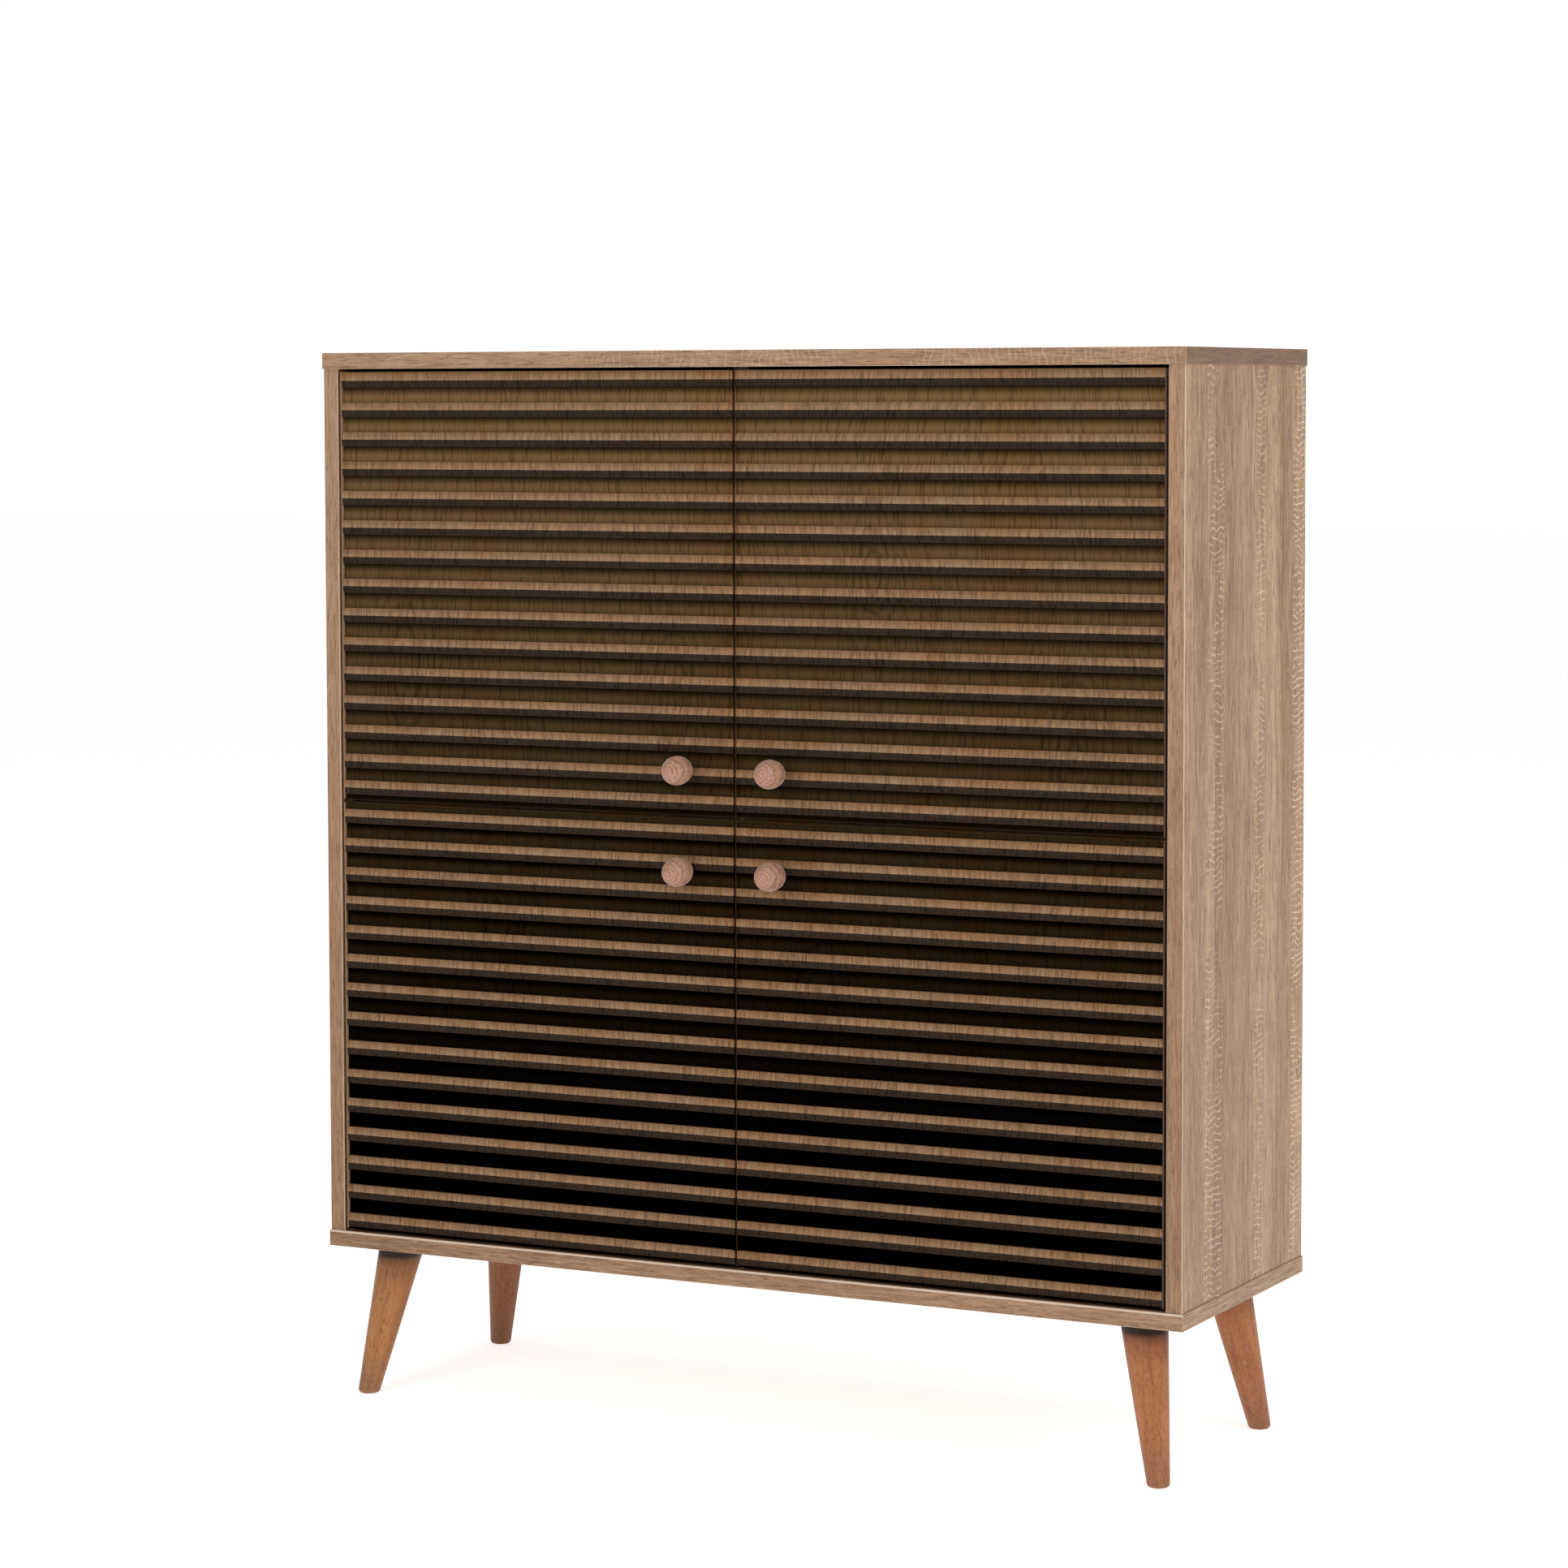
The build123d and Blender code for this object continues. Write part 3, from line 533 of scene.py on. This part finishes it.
def leg_beech(leg):
    """Oiled beech with short flecks and darker heart streaks along a splayed leg."""
    sh = Shader(f"{leg}_beech")
    low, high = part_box(leg)
    x, y, z = sh.place()
    across = sh.spread(z, math.copysign(LEG_SLOPE, low.x + high.x), x)
    other = sh.spread(z, math.copysign(LEG_SLOPE, low.y + high.y), y)
    place = (across, other, z)
    fleck = sh.step(sh.noise(place, scales=(620, 620, 170), roughness=0.6), low=0.50, high=0.62)
    band = sh.noise(place, scales=(110, 110, 9), detail=4.0, roughness=0.6, distortion=0.6)
    heart = sh.step(sh.noise(place, scales=(240, 240, 9), distortion=0.5), low=0.64, high=0.70)
    share = sh.math("DIVIDE", z, LEG_HEIGHT)
    colour = sh.ramp(share, LEG_COLOURS)
    colour = sh.lay(colour, LEG_STREAK, sh.step(band, low=0.3, high=0.8), strength=0.45)
    colour = sh.lay(colour, LEG_STREAK, fleck, strength=0.38)
    colour = sh.lay(colour, LEG_STREAK, heart, strength=0.3)
    colour = sh.mix(sh.ramp(share, LEG_SHADE), colour, BLACK)
    # Each leg's own tone, with painted shade darkening the rear left one.
    colour = sh.mix(1.0, colour, LEG_TONE_AND_SHADE[leg.removesuffix("_leg")], "MULTIPLY")
    rough = sh.spread(band, span=0.2, base=0.38)
    return sh.finish(colour, rough, fleck, relief=-0.00006, Specular_IOR_Level=0.3)


def dowel_beech():
    sh = Shader("dowel_beech_raw")
    fibre = sh.noise(sh.place(), scales=(60, 700, 700), detail=3.0)
    colour = sh.ramp(fibre, ((0.3, rgb(176, 138, 102)), (0.7, rgb(216, 184, 148))))
    return sh.finish(colour, sh.spread(fibre, span=0.2, base=0.5), fibre, relief=0.0002)


# ---- back, plastic and metal ----
def hardboard():
    """Thin fibreboard: oak foil towards the shelves, bare brown fibres behind."""
    sh = Shader("hardboard_foiled")
    place = sh.place()
    oak = oak_colour(sh, place)[0]
    mottle = sh.noise(place, scales=(90, 90, 90), detail=4.0, roughness=0.7)
    fibres = sh.noise(place, scales=(900, 900, 700), roughness=0.6)
    brown = sh.ramp(mottle, ((0.3, rgb(122, 86, 54)), (0.7, rgb(154, 113, 76))))
    brown = sh.lay(brown, rgb(86, 57, 34), fibres, strength=0.3)
    towards_front = sh.step(sh.facing()[1], low=-0.2, high=-0.6)
    colour = sh.mix(towards_front, brown, oak)
    return sh.finish(colour, sh.spread(fibres, span=0.2, base=0.5), fibres, relief=0.00015)


def joiner_plastic():
    sh = Shader("joiner_plastic_brown")
    scuff = sh.noise(sh.place(), scales=(500, 500, 12))
    colour = sh.ramp(scuff, ((0.35, rgb(108, 82, 62)), (0.7, rgb(128, 101, 79))))
    rough = sh.spread(scuff, span=0.25, base=0.45)
    return sh.finish(colour, rough, scuff, relief=0.00005, Specular_IOR_Level=0.3)


def plated_steel(name, dull, bright, roughness):
    """Plated steel with fine rolling lines and a few darker spots."""
    sh = Shader(name)
    place = sh.place()
    lines = sh.noise(place, scales=(2400, 300, 2400))
    spots = sh.step(sh.noise(place, scales=(260, 260, 260)), low=0.58, high=0.75)
    colour = sh.ramp(lines, ((0.3, dull), (0.7, bright)))
    colour = sh.lay(colour, dull, spots, strength=0.25)
    rough = sh.spread(lines, span=0.15, base=roughness)
    return sh.finish(colour, rough, lines, relief=0.00001, Metallic=1.0)


# ---- which node wears what ----
def dress(names, material):
    """Gives CAD nodes a finished material in their own slot."""
    for name in names:
        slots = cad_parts[name].data.materials
        slots.clear()
        slots.append(material)


def dress_boards():
    upright = ["left_side_panel", "right_side_panel", "centre_divider"]
    level = ["top_panel", "bottom_panel"] + [f"{side}_fixed_shelf" for side in SIDES]
    level += [f"{door}_shelf_{number}" for door in DOORS for number in (1, 2)]
    dress(upright, oak_upright())
    dress(level, oak_level())
    dress([f"{side}_back_sheet" for side in SIDES], hardboard())
    dress(["back_joiner"], joiner_plastic())


def dress_doors():
    for level in LEVELS:
        dress([f"{level}_{side}_door_panel" for side in SIDES], door_ground(level))
        dress([f"{level}_{side}_door_slats" for side in SIDES], door_slats(level))
    for door in DOORS:
        dress([f"{door}_knob"], knob_beech(door))


def dress_legs():
    for leg in LEGS:
        dress([leg], leg_beech(leg))


def dress_fittings():
    nickel = plated_steel("nickel_plate", rgb(172, 168, 160), rgb(214, 211, 203), roughness=0.18)
    zinc = plated_steel("zinc_plate", rgb(158, 162, 168), rgb(204, 208, 214), roughness=0.26)
    parts = {"hinge_cups": nickel, "hinge_links": nickel, "cup_screws": zinc, "knob_screw": zinc}
    for part, material in parts.items():
        dress([f"{door}_{part}" for door in DOORS], material)
    dress(["hinge_plates", "hinge_arms", "hinge_pins", "shelf_pins"], nickel)
    dress(["cam_locks", "cam_bolts", "plate_screws", "leg_bolts", "leg_inserts"], zinc)
    dress(["wood_dowels"], dowel_beech())


# ---- stage ----
FLOOR_SIZE = 60.0
FLOOR_GLOW = 0.68            # keeps the floor as pale as the background behind it
FLOOR_GREY = (0.8, 0.8, 0.8, 1.0)
WHITE = (1.0, 1.0, 1.0, 1.0)
SKY_LIGHT = 0.38             # how brightly the background lights the cabinet
SKY_SEEN = 1.1               # and how bright it looks
AIM = (0.0, 0.0, 0.6)        # the middle of the cabinet, which the lights face


def lay_floor():
    mesh = bpy.data.meshes.new("floor")
    half = FLOOR_SIZE / 2
    corners = [(-half, -half, 0.0), (half, -half, 0.0), (half, half, 0.0), (-half, half, 0.0)]
    mesh.from_pydata(corners, [], [(0, 1, 2, 3)])
    floor = bpy.data.objects.new("floor", mesh)
    bpy.context.scene.collection.objects.link(floor)
    material = bpy.data.materials.new("pale_floor")
    material.use_nodes = True
    surface = material.node_tree.nodes["Principled BSDF"]
    surface.inputs["Base Color"].default_value = FLOOR_GREY
    surface.inputs["Roughness"].default_value = 0.9
    surface.inputs["Emission Color"].default_value = WHITE
    surface.inputs["Emission Strength"].default_value = FLOOR_GLOW
    mesh.materials.append(material)


def soft_light(name, azimuth, elevation, distance, size, power):
    """A square panel of light that faces the middle of the cabinet."""
    light = bpy.data.lights.new(name, "AREA")
    light.size = size
    light.energy = power
    lamp = bpy.data.objects.new(name, light)
    bpy.context.scene.collection.objects.link(lamp)
    turn, rise = math.radians(azimuth), math.radians(elevation)
    turned = Matrix.Rotation(turn, 4, "Z") @ Matrix.Rotation(math.pi / 2 - rise, 4, "X")
    away = Matrix.Translation((0.0, 0.0, distance))
    lamp.matrix_world = Matrix.Translation(AIM) @ turned @ away


def light_studio():
    world = bpy.data.worlds.new("studio")
    world.use_nodes = True
    bpy.context.scene.world = world
    nodes, links = world.node_tree.nodes, world.node_tree.links
    background = nodes["Background"]
    background.inputs["Color"].default_value = WHITE
    seen = nodes.new("ShaderNodeLightPath")
    strength = nodes.new("ShaderNodeMapRange")
    links.new(seen.outputs["Is Camera Ray"], strength.inputs["Value"])
    strength.inputs["To Min"].default_value = SKY_LIGHT
    strength.inputs["To Max"].default_value = SKY_SEEN
    links.new(strength.outputs["Result"], background.inputs["Strength"])
    soft_light("key", azimuth=-8.0, elevation=24.0, distance=4.5, size=1.6, power=50.0)
    soft_light("side", azimuth=75.0, elevation=30.0, distance=4.0, size=2.2, power=52.0)
    soft_light("overhead", azimuth=0.0, elevation=88.0, distance=3.5, size=3.0, power=26.0)


# ---- camera ----
SENSOR = 36.0
LENS = 100.373
CAMERA_PLACE = (2.1849, -4.2850, 1.1293)
CAMERA_YAW = 27.199
CAMERA_PITCH = 3.727
CAMERA_ROLL = -0.128
CAMERA_SHIFT = -0.065
FARTHEST_SEEN = 100.0


def place_camera():
    data = bpy.data.cameras.new("camera")
    data.sensor_width = SENSOR
    data.lens = LENS
    data.shift_y = CAMERA_SHIFT
    data.clip_end = FARTHEST_SEEN
    camera = bpy.data.objects.new("camera", data)
    bpy.context.scene.collection.objects.link(camera)
    yaw, pitch, roll = (math.radians(a) for a in (CAMERA_YAW, CAMERA_PITCH, CAMERA_ROLL))
    turned = Matrix.Rotation(yaw, 4, "Z") @ Matrix.Rotation(math.pi / 2 - pitch, 4, "X")
    camera.matrix_world = Matrix.Translation(CAMERA_PLACE) @ turned @ Matrix.Rotation(roll, 4, "Z")
    bpy.context.scene.camera = camera


dress_boards()
dress_doors()
dress_legs()
dress_fittings()
lay_floor()
light_studio()
place_camera()
bpy.context.scene.view_settings.view_transform = "Standard"
